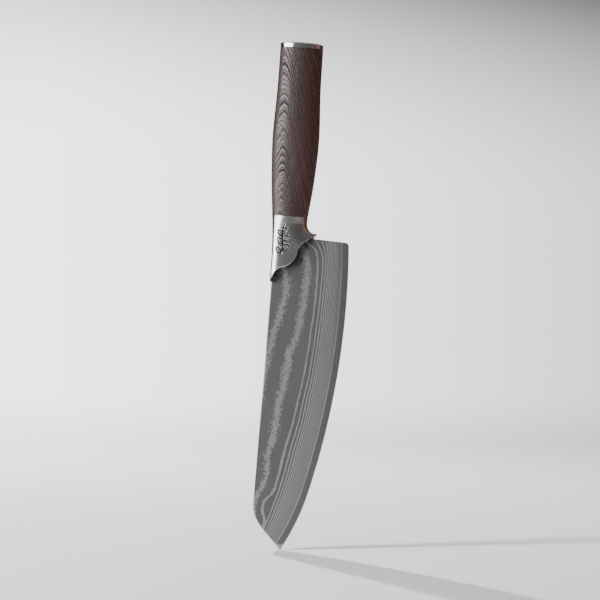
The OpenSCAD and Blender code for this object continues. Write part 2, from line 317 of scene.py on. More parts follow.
def plate(name, x, z, low_y, high_y, **kw):
    """A closed plate over a grid in x and z, between two y values at each point."""
    rows, cols = x.shape
    front = np.stack([x, low_y, z], -1).reshape(-1, 3)
    rear = np.stack([x, high_y, z], -1).reshape(-1, 3)
    count = rows * cols
    faces = grid_faces(rows, cols) + grid_faces(rows, cols, start=count, flip=True)
    rim = ([i * cols for i in range(rows)][::-1] + list(range(cols))
           + [i * cols + cols - 1 for i in range(rows)] + [count - 1 - k for k in range(cols)])
    rim = [v for k, v in enumerate(rim) if v != rim[k - 1]]
    faces += [[a, b, b + count, a + count][::-1] for a, b in zip(rim, rim[1:] + rim[:1])]
    piece = new_piece(name, np.vstack([front, rear]), faces, **kw)
    flat_x, flat_z = np.tile(x.ravel(), 2), np.tile(z.ravel(), 2)
    line, pitch, half = layer_field(flat_x, flat_z)
    # painted highlight along the clip's rim and at the very point
    rim_light = ease((RIM_W - back_gap(flat_x, flat_z)) / RIM_FADE) * (flat_z < CLIP[0][1])
    polished = np.maximum(rim_light, ease((POINT_H - flat_z) / POINT_FADE))
    set_values(piece, line=line, pitch=pitch, half=half, gap=edge_gap(flat_x, flat_z), polished=polished)
    merge_and_close(piece)
    piece.data.set_sharp_from_angle(angle=BLADE_SHARP)
    return piece


def wobble(z, seed, size):
    """A small uneven wave along the blade."""
    long_wave = np.sin(z / 7.3 + seed)
    return size * (long_wave + 0.6 * np.sin(z / 3.1 + 2.3 * seed) + 0.4 * np.sin(z / 1.3 + seed))


# The course of three of the blade's layer lines, as height and distance from the spine
BAND_ONE = ((24, -6), (75, -3.5), (115, 0.6), (131, 3.0), (142, 5.0), (151, 7.2), (161, 9.4), (171, 11.0),
            (179, 9.7), (186, 6.0), (204, 0.0))
BAND_TWO = ((14, 3.0), (24, 1.0), (33, 2.0), (38, 5.0), (44, 7.0), (61, 7.9), (75, 10.5), (89, 11.3),
            (102, 13.2), (116, 15.4), (132, 17.8), (141, 20.8), (150, 22.0), (164, 23.6), (178, 24.4),
            (188, 23.4), (196, 20.6), (204, 14.0))
LINE_A_LONG = ((48, 15.8), (67, 19.2), (83, 22.8), (99, 25.2), (112, 27.4), (126, 28.8), (138, 29.7),
               (150, 30.5), (176, 31.4))
LINE_A = (((0, 5.0), (14, 8.5), (19, 9.0), (24, 6.8), (31, 8.0), (36, 12.3)) + LINE_A_LONG
          + ((188, 30.9), (193, 30.2), (198, 27.6), (200, 24.0), (204, 18.0)))
HIDDEN_BAND = 16        # one more band lies this far behind the first, past the spine
# The lines between line A and the bared core keep straighter below this course, and share the width out
FAN = ((0, 2.5), (14, 6.4), (24, 9.2), (36, 12.9)) + LINE_A_LONG + ((190, 31.6), (204, 31.6))
HEEL_BEND, HEEL_BEND_Z = 13.0, 187.0
FAN_SHARES = (0.185, 0.305, 0.40, 0.475, 0.54, 0.595, 0.65, 0.70, 0.75, 0.80, 0.85, 0.90, 0.95, 1.0)
# Half widths of the two bands and line A in millimetres, low down and at the heel; finer lines follow
# their spacing
HALF_WIDTHS = ((2.0, 1.9), (1.0, 2.6), (0.85, 0.45))
FINE_SHARE, FINE_MOST, FINE_STEP = 0.25, 0.42, 0.25


def smooth_course(points, z):
    """A smooth curve through the points, with slopes taken from each point's neighbours."""
    pz, px = np.array(points, float).T
    slope = np.gradient(px, pz)
    k = np.clip(np.searchsorted(pz, z) - 1, 0, len(pz) - 2)
    w = pz[k + 1] - pz[k]
    t = np.clip((z - pz[k]) / w, 0, 1)
    return ((1 + 2 * t) * (1 - t) ** 2 * px[k] + t * (1 - t) ** 2 * w * slope[k]
            + t * t * (3 - 2 * t) * px[k + 1] + t * t * (t - 1) * w * slope[k + 1])


def layer_field(x, z):
    """Which line is nearest to each point, counted from the spine, how far apart the lines are there and
    half the width of a line there, in millimetres."""
    bare = edge_x(np.minimum(z, LENGTH), CORE_BARE)
    fan = smooth_course(FAN, z)
    up = ease(z / (0.6 * LENGTH))
    bend = HEEL_BEND * np.clip((z - HEEL_BEND_Z) / (SHOULDER - HEEL_BEND_Z), 0, 1) ** 2
    courses = [smooth_course(BAND_ONE, z) - HIDDEN_BAND, smooth_course(BAND_ONE, z),
               smooth_course(BAND_TWO, z), smooth_course(LINE_A, z)]
    coarse = len(courses)
    halves = [HALF_WIDTHS[0][0] + 0 * z] + [low + (high - low) * up for low, high in HALF_WIDTHS]
    for share in FAN_SHARES:
        courses.append(fan + (bare - fan) * share - bend * (1 - share) ** 3)
    for k in range(coarse, len(courses)):
        courses[k] = np.maximum(courses[k], courses[k - 1] + FINE_STEP)
        halves.append(np.minimum((courses[k] - courses[k - 1]) * FINE_SHARE, FINE_MOST))
    line, pitch, half = np.zeros_like(x), np.ones_like(x), np.ones_like(x)
    for k in range(len(courses) - 1):
        low, high = courses[k], np.maximum(courses[k + 1], courses[k] + 0.2)
        share = (x - low) / (high - low)
        inside = (x >= low) & ((x < high) | (k == len(courses) - 2))
        line = np.where(inside, k + share, line)
        pitch = np.where(inside, high - low, pitch)
        half = np.where(inside, halves[k] + (halves[k + 1] - halves[k]) * np.clip(share, 0, 1), half)
    return line, pitch, half


def build_blade():
    pattern, core = damascus_steel(), core_steel()
    z = blade_rows(lowest_layer_z())
    left = spine_x(z)
    right = np.minimum(edge_x(z, CORE_BARE) + wobble(z, 1.0, EDGE_WAVE), heel_x(z))
    right = np.maximum(right, left)
    x, zz = with_tang(*sheet_points(z, left, right))
    outer = np.maximum(half_thickness(x, zz), CORE_HALF + 0.01)
    plate("cladding_left_skin", x, zz, -outer, np.full_like(outer, -CORE_HALF), material=pattern,
          slot="pattern_steel", replaces=("cladding_left",))
    plate("cladding_right_skin", x, zz, np.full_like(outer, CORE_HALF), outer, material=pattern,
          slot="pattern_steel", replaces=("cladding_right",))
    z = blade_rows(0.0)
    x, zz = with_tang(*sheet_points(z, np.minimum(spine_x(z), heel_x(z)), heel_x(z)))
    half = np.minimum(half_thickness(x, zz), CORE_HALF)
    plate("blade_core_skin", x, zz, -half, half, material=core, slot="core_steel", replaces=("blade_core",))


def lowest_layer_z():
    """Height at which the outer layers begin: where the bared core meets the clip."""
    z = np.linspace(0, 20, 2001)
    return float(z[np.argmax(edge_x(z, CORE_BARE) > spine_x(z))])


# ---------------------------------------------------------------- bolster
def bolster_lines(z):
    """Back, belly, thickness, squareness and crown of the bolster's section at each height."""
    up = np.clip((z - CLAW_Z) / (SEAM_Z - CLAW_Z), 0, 1)
    back = -CLAW_PROUD + (GRIP[0][1] + CLAW_PROUD) * up**3
    square = CLAW_SQUARE + (OVAL - CLAW_SQUARE) * up**2
    drop = np.clip(HOLLOW_Z - z, 0, HOLLOW_R)
    hollow = NECK_X + HOLLOW_R - np.sqrt(HOLLOW_R**2 - drop**2)
    belly = np.where(HOLLOW_Z - z < HOLLOW_R, hollow, BEAK[0])
    return back, belly, CLAW_T + (SEAM_T - CLAW_T) * up, square, 1 - up**3


def wave_curve():
    """The bolster's front on the blade, from the finger guard to the claw."""
    neck = np.array([18.8, LENGTH - 9])
    corner = np.array([9.5, LENGTH - 19.8])
    claw = np.array([0.4, CLAW_Z])
    return np.vstack([
        cubic(BEAK, (24.5, LENGTH - 1.5), neck + (0.5, 5.5), neck, 60),
        cubic(neck, neck - (0.3, 5), corner + (4, 0.6), corner, 50)[1:],
        cubic(corner, corner - (3.5, 0.6), claw + (3.4, 5.2), claw, 50)[1:]])


def cheek_ring(z, angles):
    """One section of the bolster, with a height of its own for each direction."""
    back, belly, thick, square, crown = bolster_lines(z)
    ring = oval_ring(back, belly, thick, z, angles, WIDEST_X, square, crown)
    # toward the belly the cheeks roll over by their distance from the silhouette
    below = np.clip(HOLLOW_Z - z, 0, None)
    inward = np.hypot(NECK_X + HOLLOW_R - ring[:, 0], below) - HOLLOW_R
    roll = np.clip(1 - inward / (NECK_X - WIDEST_X), 0, 1)
    half = (1 - roll**OVAL) ** (1 / OVAL) * thick / 2
    half = half * (1 - crown * ((ring[:, 0] - CROWN_X) / CROWN_REACH) ** 2)
    side = np.sign(np.round(ring[:, 1], 9))
    ring[:, 1] = np.where(ring[:, 0] > WIDEST_X, side * half, ring[:, 1])
    return ring


def wave_and_rim():
    """The foot of the bolster's front wall and its rim on the cheeks, both in order from the spine."""
    wave = wave_curve()
    step = np.gradient(wave, axis=0)
    step /= np.linalg.norm(step, axis=1)[:, None]
    share = np.linspace(0, 1, len(wave))
    draft = DRAFT * ease(share / 0.25) * ease((1 - share) / 0.12)
    rim = wave + np.stack([step[:, 1], -step[:, 0]], -1) * draft[:, None]
    order = np.argsort(rim[:, 0])
    return wave[order], rim[order]


def front_heights(rim, angles):
    """The height at which each column of the cheeks meets the rim of the front, found by halving."""
    low, high = np.full(len(angles), CLAW_Z - 1.0), np.full(len(angles), SEAM_Z)
    for _ in range(40):
        middle = (low + high) / 2
        over = middle > np.interp(cheek_ring(middle, angles)[:, 0], rim[:, 0], rim[:, 1])
        low, high = np.where(over, low, middle), np.where(over, middle, high)
    return (low + high) / 2


def unit(vectors, lengths):
    return vectors / np.maximum(lengths, 1e-6)


def bolster_rings():
    """Rings from the seam down the cheeks, round the lip and down the front wall to the blade's middle."""
    angles = np.linspace(0, 2 * math.pi, BOLSTER_COLS, endpoint=False)
    wave, rim = wave_and_rim()
    front_z = front_heights(rim, angles)
    lip = cheek_ring(front_z, angles)
    root_x = np.interp(lip[:, 0], rim[:, 0], wave[:, 0])
    root_z = np.interp(lip[:, 0], rim[:, 0], wave[:, 1])
    root = np.stack([root_x, 0 * root_x, root_z], -1)
    up = np.linspace(0, 1, BOLSTER_ROWS) ** 1.15
    rings = [cheek_ring(front_z + (SEAM_Z - front_z) * t, angles) for t in up[:0:-1]]
    # a small round on the lip, then the front wall
    wall_len = np.linalg.norm(root - lip, axis=1)[:, None]
    wall_dir = unit(root - lip, wall_len)
    cheek_dir = unit(rings[-1] - lip, np.linalg.norm(rings[-1] - lip, axis=1)[:, None])
    fillet = np.minimum(LIP_R, LIP_SHARE * wall_len)
    above = lip + cheek_dir * fillet
    below = lip + wall_dir * fillet
    rings = rings[:-LIP_CLEAR]
    for t in np.linspace(0, 1, LIP_ROWS):
        s = 1 - t
        rings.append(s * s * above + 2 * s * t * lip + t * t * below)
    for t in np.linspace(0, 1, WALL_ROWS)[1:]:
        rings.append(below + (root - lip - wall_dir * fillet) * t)
    return rings


def build_bolster():
    steel = bolster_steel()
    rings = bolster_rings()
    wall_start = (len(rings) - WALL_ROWS) * BOLSTER_COLS
    verts, dark = engrave(np.concatenate(rings), wall_start)
    faces = grid_faces(len(rings), BOLSTER_COLS, closed=True, flip=True) + [list(range(BOLSTER_COLS))]
    piece = new_piece("bolster_body", verts, faces, material=steel, slot="bolster_steel",
                      replaces=("bolster",))
    # painted shade: the front wall and the guard's tip
    painted_shade = (np.arange(len(verts)) >= wall_start) | (verts[:, 0] > BEAK[0] - BEAK_DARK)
    set_values(piece, engraved=dark, wall=painted_shade)
    merge_and_close(piece)
    cut_slot(piece)
    piece.data.set_sharp_from_angle(angle=BOLSTER_SHARP)


def cut_slot(piece):
    """Cuts the blade's slot out of the bolster, with a cutter that runs out behind the spine and below."""
    z = np.linspace(CLAW_Z - SLOT_BELOW, SHOULDER, 24)
    x = np.linspace(-SLOT_BEHIND, DEPTH, 30)
    x, z = np.meshgrid(x, z)
    half = SPINE_T / 2 - np.maximum(x, 0) * math.tan(FACE_TAPER) + SLOT_FIT
    slot = plate("slot_cutter", x, z, -half, half, material=piece.data.materials[0])
    bm = bmesh.new()
    bm.from_mesh(slot.data)
    bmesh.ops.triangulate(bm, faces=bm.faces)
    bm.to_mesh(slot.data)
    bm.free()
    cut = piece.modifiers.new("slot", "BOOLEAN")
    cut.operation = "DIFFERENCE"
    cut.object = slot
    cut.solver = "MANIFOLD"
    graph = bpy.context.evaluated_depsgraph_get()
    result = bpy.data.meshes.new_from_object(piece.evaluated_get(graph))
    piece.modifiers.clear()
    piece.data = result
    bpy.data.objects.remove(slot)


# ---------------------------------------------------------------- the engraved sprig on the bolster
SPRIG_FOOT, SPRIG_TOP, STEM_POINTS = (7.2, 192.6), (8.8, 212.0), 30
# Each leaf's place along the stem, its side and its length
LEAVES = ((0.06, -1, 4.8), (0.16, 1, 5.4), (0.36, -1, 5.2), (0.46, 1, 4.9), (0.64, -1, 4.4), (0.74, 1, 4.0))
LEAF_SPREAD, LEAF_BOW = 46, 0.40              # degrees from upright, and half width as a share of length
STROKE, CUT_DEPTH = 0.58, 0.40
GROOVE_FLAT, GROOVE_SLOPE = 0.35, 0.75        # of a stroke's width: its flat floor, and its slope
CHEEK_Y, SPRIG_X, SPRIG_REACH, SPRIG_LOW, SPRIG_HIGH = -4, 8, 6.5, 191, 214    # the area that is engraved


def sprig_strokes():
    """A plain sprig: a bent stem with pointed leaves on both sides, each with a vein."""
    foot, top = np.array(SPRIG_FOOT), np.array(SPRIG_TOP)
    stem = cubic(foot, foot + (3.4, 6), top - (3.6, 6), top, STEM_POINTS)
    strokes = [(stem, STROKE)]
    for at, side, length in LEAVES:
        base = stem[int(at * (STEM_POINTS - 1))]
        angle = math.radians(90 - side * LEAF_SPREAD)
        tip = base + length * np.array([math.cos(angle), math.sin(angle)])
        across = np.array([-math.sin(angle), math.cos(angle)]) * LEAF_BOW * length
        for bow in (-1, 1):
            strokes.append((cubic(base, base + (tip - base) * 0.2 + across * bow,
                                  base + (tip - base) * 0.7 + across * bow, tip, 9), STROKE * 0.85))
        strokes.append((np.array([base, base + (tip - base) * 0.6]), STROKE * 0.6))
    return strokes


def engrave(verts, wall_start):
    """Sinks the sprig into the left cheek and says how deep each vertex was cut, from 0 to 1."""
    on_cheek = (verts[:, 1] < CHEEK_Y) & (np.arange(len(verts)) < wall_start)
    on_cheek &= np.abs(verts[:, 0] - SPRIG_X) < SPRIG_REACH
    on_cheek &= (verts[:, 2] > SPRIG_LOW) & (verts[:, 2] < SPRIG_HIGH)
    picked = np.nonzero(on_cheek)[0]
    flat = verts[picked][:, [0, 2]]
    depth = np.zeros(len(picked))
    for line, width in sprig_strokes():
        for a, b in zip(line[:-1], line[1:]):
            along = np.clip(((flat - a) @ (b - a)) / max((b - a) @ (b - a), 1e-9), 0, 1)
            away = np.linalg.norm(flat - a - along[:, None] * (b - a), axis=1)
            depth = np.maximum(depth, ease(1 - (away - GROOVE_FLAT * width) / (GROOVE_SLOPE * width)))
    verts = verts.copy()
    verts[picked, 1] += depth * CUT_DEPTH
    dark = np.zeros(len(verts))
    dark[picked] = depth
    return verts, dark


# ---------------------------------------------------------------- grip and cap
def grip_lines(u):
    """Back, belly and thickness of the grip at a fraction of its length."""
    table = np.array(GRIP)
    span = np.clip(np.searchsorted(table[:, 0], u) - 1, 0, len(table) - 2)
    ends = np.vstack([table[:1], table, table[-1:]])
    slope = (ends[2:, 1:] - ends[:-2, 1:]) / (ends[2:, 0] - ends[:-2, 0])[:, None]
    w = (table[span + 1, 0] - table[span, 0])[:, None]
    t = ((u - table[span, 0]) / w[:, 0])[:, None]
    line = (table[span, 1:] + (table[span + 1, 1:] - table[span, 1:]) * ease(t)
            + w * t * (1 - t) * (slope[span] * (1 - t) - slope[span + 1] * t))
    thick = np.where(u < 0.5, SEAM_T + (GRIP_T - SEAM_T) * ease(2 * u),
                     GRIP_T + (BUTT_T - GRIP_T) * ease(2 * u - 1))
    return line[:, 0], line[:, 1], thick


def build_grip():
    """The wood: an oval that changes all along its length, with its two ends drawn in a little."""
    angles = np.linspace(0, 2 * math.pi, GRIP_COLS, endpoint=False)
    u = np.linspace(0, 1, GRIP_ROWS)
    length = BUTT_Z - SEAM_Z
    back, belly, thick = grip_lines(u)
    drawn = EDGE_BREAK * np.exp(-u * length / BREAK_FADE)
    drawn += EDGE_BREAK * np.exp(-(1 - u) * length / BREAK_FADE)
    rings = [oval_ring(back[k] + drawn[k], belly[k] - drawn[k], thick[k] - 2 * drawn[k],
                       SEAM_Z + u[k] * length, angles) for k in range(GRIP_ROWS)]
    ring_loft(rings, name="grip_wood", material=dark_wood(), slot="dark_wood", replaces=("handle",))


def build_cap():
    """The end cap: a straight rim with a broken edge and a low dome."""
    angles = np.linspace(0, 2 * math.pi, GRIP_COLS, endpoint=False)
    back, belly, thick = (v[0] for v in grip_lines(np.array([1.0])))
    top = CAP_TOP - BUTT_Z
    middle, a, b = (back + belly) / 2, (belly - back) / 2, thick / 2
    profile = [(CAP_BREAK[0], 0.0), (0.0, CAP_BREAK[1])]
    profile += [(0.0, height) for height in np.linspace(0.4, CAP_RIM, 8)]
    for angle in np.linspace(0, math.pi / 2, 40)[1:]:
        inset = a * DOME_REACH * (1 - math.cos(angle) ** DOME_ROUND)
        profile.append((inset, CAP_RIM + (top - CAP_RIM) * math.sin(angle)))
    rings = []
    for inset, height in profile:
        shrink = max(1 - inset / a, DOME_END)
        rings.append(oval_ring(middle - a * shrink, middle + a * shrink, 2 * b * shrink, BUTT_Z + height,
                               angles))
    ring_loft(rings, name="end_cap_steel", material=cap_steel(), slot="cap_steel", replaces=("end_cap",))


# ---------------------------------------------------------------- shader tools
class Shader:
    """A small builder for one node material."""

    def __init__(self, name):
        self.material = bpy.data.materials.new(name)
        self.material.use_nodes = True
        self.tree = self.material.node_tree
        self.tree.nodes.clear()
        out = self.tree.nodes.new("ShaderNodeOutputMaterial")
        self.bsdf = self.tree.nodes.new("ShaderNodeBsdfPrincipled")
        self.tree.links.new(self.bsdf.outputs[0], out.inputs[0])

    def node(self, kind, **inputs):
        """A node with its inputs set by name, or by number as _0, _1 and so on."""
        node = self.tree.nodes.new(kind)
        for key, value in inputs.items():
            self.feed(node.inputs[int(key[1:]) if key[1:].isdigit() else key.replace("_", " ")], value)
        return node

    def feed(self, socket, value):
        if isinstance(value, bpy.types.NodeSocket):
            self.tree.links.new(value, socket)
        else:
            socket.default_value = value

    def set(self, **values):
        for key, value in values.items():
            self.feed(self.bsdf.inputs[key.replace("_", " ")], value)

    def math(self, operation, a, b=0.0, clamp=False):
        node = self.node("ShaderNodeMath", _0=a, _1=b)
        node.operation = operation
        node.use_clamp = clamp
        return node.outputs[0]

    def value(self, name):
        """A number that set_values stored on the mesh."""
        node = self.tree.nodes.new("ShaderNodeAttribute")
        node.attribute_name = name
        return node.outputs["Fac"]

    def place(self, scale=(1, 1, 1)):
        """Object coordinates in metres, drawn out along the axes whose scale is small."""
        coords = self.tree.nodes.new("ShaderNodeTexCoord")
        return self.node("ShaderNodeMapping", Vector=coords.outputs["Object"], Scale=scale).outputs[0]

    def noise(self, vector, scale, detail, rough):
        node = self.node("ShaderNodeTexNoise", Vector=vector, Scale=scale, Detail=detail, Roughness=rough)
        return node.outputs["Fac"]

    def step(self, value, low, high, start=0.0, end=1.0):
        node = self.node("ShaderNodeMapRange", _0=value, _1=low, _2=high, _3=start, _4=end)
        node.interpolation_type = "SMOOTHSTEP"
        return node.outputs[0]

    def mix(self, fac, a, b):
        node = self.tree.nodes.new("ShaderNodeMix")
        node.data_type = "RGBA"
        for socket, value in ((node.inputs[0], fac), (node.inputs[6], a), (node.inputs[7], b)):
            self.feed(socket, value)
        return node.outputs[2]

    def bump(self, height, strength, distance):
        node = self.node("ShaderNodeBump", Height=height, Strength=strength, Distance=distance)
        self.set(Normal=node.outputs[0])


def grey(v, warm=0.0):
    return (v * (1 + warm), v, v * (1 - warm), 1)


# ---------------------------------------------------------------- materials
# Linear tones, dark and light where a noise mixes two
ETCHED_DARK, ETCHED_LIGHT, NICKEL_LINE = grey(0.080, -0.03), grey(0.108, -0.03), grey(0.262, 0.02)
# the last one serves the edge's polish and the painted highlight at the clip's rim and the point
CORE_DARK, CORE_LIGHT, POLISH_AND_HIGHLIGHT = grey(0.094), grey(0.130), grey(0.30)
SATIN_DARK, SATIN_LIGHT = grey(0.50, 0.02), grey(0.56, 0.02)
# Painted shade: the first for the bolster's front wall and guard tip, the second for the engraved grooves
PAINTED_SHADE_GREY, GROOVE_SHADE = grey(0.10, 0.03), grey(0.035, 0.03)
CAP_DARK, CAP_LIGHT = grey(0.70, 0.01), grey(0.76, 0.01)
WOOD_DEEP, WOOD_LIGHT = (0.018, 0.0068, 0.0056, 1), (0.078, 0.029, 0.023, 1)
WOOD_LINE = (0.002, 0.002, 0.002, 1)
# Painted warm light: the wood is painted lighter and redder toward the belly, the grip's side in shade,
# between these distances from the spine line
WOOD_WARM_LIGHT, BELLY_FROM, BELLY_TO = (0.138, 0.056, 0.050, 1), 10.5, 20.0
# The heart of the tree runs through the grip just under its left face: millimetres from the spine line at
# the grip's middle height, its lean and its place in the thickness
HEART_X, HEART_LEAN, HEART_Y = 3.4, -0.045, -4.0
# The tilt of the rings, which makes arches, the width of a ring, and how many finer lines it has
RING_TILT, RING_PITCH, HAIRS = 0.18, 1.02, 2.0


def damascus_steel():
    """Etched layers: bright lines on dark grey, feathered and flecked where they are wide."""
    s = Shader("damascus_steel")
    line, pitch, half, gap = (s.value(name) for name in ("line", "pitch", "half", "gap"))
    fine = s.math("SUBTRACT", s.noise(s.place((1, 1, 0.6)), 1500, 3, 0.65), 0.5)
    coarse = s.math("SUBTRACT", s.noise(s.place((1, 1, 0.6)), 420, 3, 0.6), 0.5)
    slow = s.math("SUBTRACT", s.noise(s.place((1, 1, 0.8)), 75, 2, 0.5), 0.5)
    # the middle of each line wanders in millimetres, more so where the line is wide
    wander = s.math("MULTIPLY", fine, s.step(half, 0.3, 1.8, 0.15, 13.0))
    wander = s.math("ADD", wander, s.math("MULTIPLY", coarse, s.step(half, 0.25, 2.2, 0.25, 6.0)))
    wander = s.math("ADD", wander, s.math("MULTIPLY", slow, s.step(half, 0.25, 2.6, 0.25, 2.2)))
    off = s.math("MULTIPLY", s.math("SUBTRACT", s.math("FRACT", s.math("ADD", line, 0.5)), 0.5), pitch)
    away = s.math("ABSOLUTE", s.math("ADD", off, wander))
    soft = s.step(half, 0.2, 2.6, 0.13, 0.7)
    bright = s.math("ADD", s.math("DIVIDE", s.math("SUBTRACT", half, away), soft), 0.5, clamp=True)
    fleck = s.step(s.noise(s.place((1, 1, 0.5)), 1700, 2, 0.6), 0.42, 0.62)
    worn = s.math("MULTIPLY", s.math("MULTIPLY", fleck, 0.5), s.step(half, 0.8, 2.4))
    bright = s.math("MULTIPLY", bright, s.math("SUBTRACT", s.step(half, 0.14, 0.4, 0.88, 1.0), worn))
    # the weld to the core shows as one more bright line
    weld = s.math("MULTIPLY", s.step(gap, CORE_BARE - 0.1, CORE_BARE + 0.05),
                  s.step(gap, CORE_BARE + 0.75, CORE_BARE + 0.6))
    bright = s.math("MAXIMUM", bright, weld)
    # painted highlight: the clip's rim and the point take the bright line colour
    bright = s.math("MAXIMUM", bright, s.value("polished"))
    cloud = s.noise(s.place((1, 1, 0.3)), 60, 3, 0.5)
    ground = s.mix(cloud, ETCHED_DARK, ETCHED_LIGHT)
    s.set(Base_Color=s.mix(bright, ground, NICKEL_LINE), Metallic=1.0,
          Roughness=s.math("ADD", s.math("MULTIPLY", bright, -0.08), 0.45))
    grind = s.noise(s.place((0.06, 1, 1)), 5200, 2, 0.5)
    s.bump(s.math("ADD", s.math("MULTIPLY", bright, 0.6), s.math("MULTIPLY", grind, 0.35)), 0.25, 0.00004)
    return s.material


def core_steel():
    """The bared core: darker and plain, ground across, with a bright polish at the very edge and a painted
    highlight at the clip's rim and the point.
    """
    s = Shader("core_steel")
    gap = s.value("gap")
    grind = s.noise(s.place((0.08, 1, 1)), 6000, 2, 0.5)
    tone = s.mix(grind, CORE_DARK, CORE_LIGHT)
    # the very edge has a polish; the clip's rim and the point get a painted highlight
    bright = s.math("MAXIMUM", s.step(gap, 0.55, 0.35), s.value("polished"))
    s.set(Base_Color=s.mix(bright, tone, POLISH_AND_HIGHLIGHT), Metallic=1.0,
          Roughness=s.step(gap, 0.2, 0.8, 0.28, 0.42))
    s.bump(grind, 0.2, 0.00003)
    return s.material


def bolster_steel():
    """Satin-ground steel, with painted shade on the front wall, on the guard's tip and in the engraved
    grooves.
    """
    s = Shader("bolster_steel")
    grain = s.noise(s.place((1, 1, 0.05)), 5200, 3, 0.6)
    cloud = s.noise(s.place((1, 1, 0.5)), 130, 3, 0.5)
    tone = s.mix(cloud, SATIN_DARK, SATIN_LIGHT)
    # painted shade in the engraved grooves, which are also rougher
    dark = s.step(s.value("engraved"), 0.15, 0.7)
    # painted shade on the front wall and the guard's tip
    tone = s.mix(s.math("MULTIPLY", s.value("wall"), 0.85), tone, PAINTED_SHADE_GREY)
    s.set(Base_Color=s.mix(dark, tone, GROOVE_SHADE), Metallic=1.0,
          Roughness=s.math("ADD", s.math("MULTIPLY", grain, 0.06), s.step(dark, 0, 1, 0.205, 0.6)))
    s.bump(s.math("ADD", grain, s.math("MULTIPLY", cloud, 0.2)), 0.12, 0.00002)
    return s.material


def cap_steel():
    """Polished steel with faint swirls."""
    s = Shader("cap_steel")
    swirl = s.noise(s.place((1, 1, 0.1)), 4200, 2, 0.5)
    s.set(Base_Color=s.mix(swirl, CAP_DARK, CAP_LIGHT), Metallic=1.0,
          Roughness=s.math("ADD", s.math("MULTIPLY", swirl, 0.05), 0.10))
    s.bump(swirl, 0.06, 0.00001)
    return s.material


def dark_wood():
    """Dark figured wood: growth rings about a leaning heart, which show as arches, with fine pores."""
    s = Shader("dark_wood")
    parts = s.node("ShaderNodeSeparateXYZ", _0=s.place())
    x, y, z = (s.math("MULTIPLY", parts.outputs[k], 1 / MM) for k in range(3))
    sway = s.math("SUBTRACT", s.noise(s.place((1, 1, 0.30)), 42, 2, 0.5), 0.5)
    heart = s.math("ADD", s.math("MULTIPLY", z, HEART_LEAN), HEART_X + SPINE_X / MM)
    ring_x = s.math("SUBTRACT", s.math("SUBTRACT", x, heart), s.math("MULTIPLY", sway, 4.0))
    ring_y = s.math("MULTIPLY", s.math("SUBTRACT", y, HEART_Y), 0.8)
    square = s.math("ADD", s.math("MULTIPLY", ring_x, ring_x), s.math("MULTIPLY", ring_y, ring_y))
    radius = s.math("SQRT", square)
    wander = s.math("MULTIPLY", s.math("SUBTRACT", s.noise(s.place((1, 1, 0.10)), 170, 3, 0.6), 0.5), 1.5)
    jitter = s.math("MULTIPLY", s.math("SUBTRACT", s.noise(s.place((1, 1, 0.06)), 900, 2, 0.6), 0.5), 0.35)
    depth = s.math("ADD", radius, s.math("MULTIPLY", z, RING_TILT))
    depth = s.math("ADD", depth, s.math("ADD", wander, jitter))
    rings = s.math("MULTIPLY", depth, 1 / RING_PITCH)
    # the late wood of each ring, darker in some rings than in others, with finer lines between
    wave = s.math("SINE", s.math("MULTIPLY", rings, 2 * math.pi))
    wave = s.math("ADD", s.math("MULTIPLY", wave, 0.5), 0.5)
    strength = s.node("ShaderNodeTexNoise", Scale=1.0, Detail=1.0)
    strength.noise_dimensions = "1D"
    s.feed(strength.inputs["W"], s.math("MULTIPLY", rings, 0.55))
    varied = s.step(strength.outputs["Fac"], 0.32, 0.58, 0.15, 1.0)
    band = s.math("MULTIPLY", s.step(wave, 0.42, 0.90), varied)
    hair = s.math("SINE", s.math("MULTIPLY", rings, 2 * math.pi * HAIRS))
    band = s.math("MAXIMUM", band, s.step(hair, 0.3, 0.95, 0.0, 0.8))
    pores = s.step(s.noise(s.place((1, 1, 0.03)), 2600, 2, 0.5), 0.55, 0.72)
    fibre = s.noise(s.place((1, 1, 0.03)), 1500, 3, 0.6)
    cloud = s.noise(s.place((1, 1, 0.2)), 90, 2, 0.5)
    brown = s.mix(s.math("ADD", s.math("MULTIPLY", fibre, 0.5), s.math("MULTIPLY", cloud, 0.5)),
                  WOOD_DEEP, WOOD_LIGHT)
    # painted warm light: lighter and redder toward the belly, the side in shade
    belly = s.step(x, BELLY_FROM + SPINE_X / MM, BELLY_TO + SPINE_X / MM, 0.0, 0.75)
    brown = s.mix(belly, brown, WOOD_WARM_LIGHT)
    line = s.math("MAXIMUM", band, s.math("MULTIPLY", pores, 0.38))
    rough = s.math("ADD", s.math("MULTIPLY", fibre, 0.12), 0.21)
    s.set(Base_Color=s.mix(line, brown, WOOD_LINE), Specular_IOR_Level=0.62,
          Roughness=s.math("ADD", s.math("MULTIPLY", line, 0.52), rough))
    sunk = s.math("ADD", s.math("MULTIPLY", pores, 0.6), band)
    height = s.math("SUBTRACT", s.math("MULTIPLY", fibre, 0.3), sunk)
    s.bump(height, 0.4, 0.00012)
    return s.material


def turned_finish(name, tone, metallic, rough):
    """A plain finish with faint turning marks, for what is hidden in the grip."""
    s = Shader(name)
    turned = s.noise(s.place((0.2, 0.2, 1)), 3000, 2, 0.5)
    s.set(Base_Color=s.mix(turned, grey(tone * 0.85), grey(tone)), Metallic=metallic, Roughness=rough)
    s.bump(turned, 0.15, 0.00003)
    return s.material


def dress_hidden_parts():
    """The pieces inside the grip stay as CAD made them and get turned-steel and epoxy finishes."""
    steel = turned_finish("fastener_steel", 0.55, metallic=1.0, rough=0.35)
    epoxy = turned_finish("epoxy", 0.6, metallic=0.0, rough=0.5)
    for name in ("tang_rod", "rod_rivet", "handle_dowels", "butt_washer", "butt_nut", "cap_pins",
                 "tang_bedding"):
        piece = frame["nodes"][name]
        piece.data.materials.clear()
        piece.data.materials.append(epoxy if name == "tang_bedding" else steel)


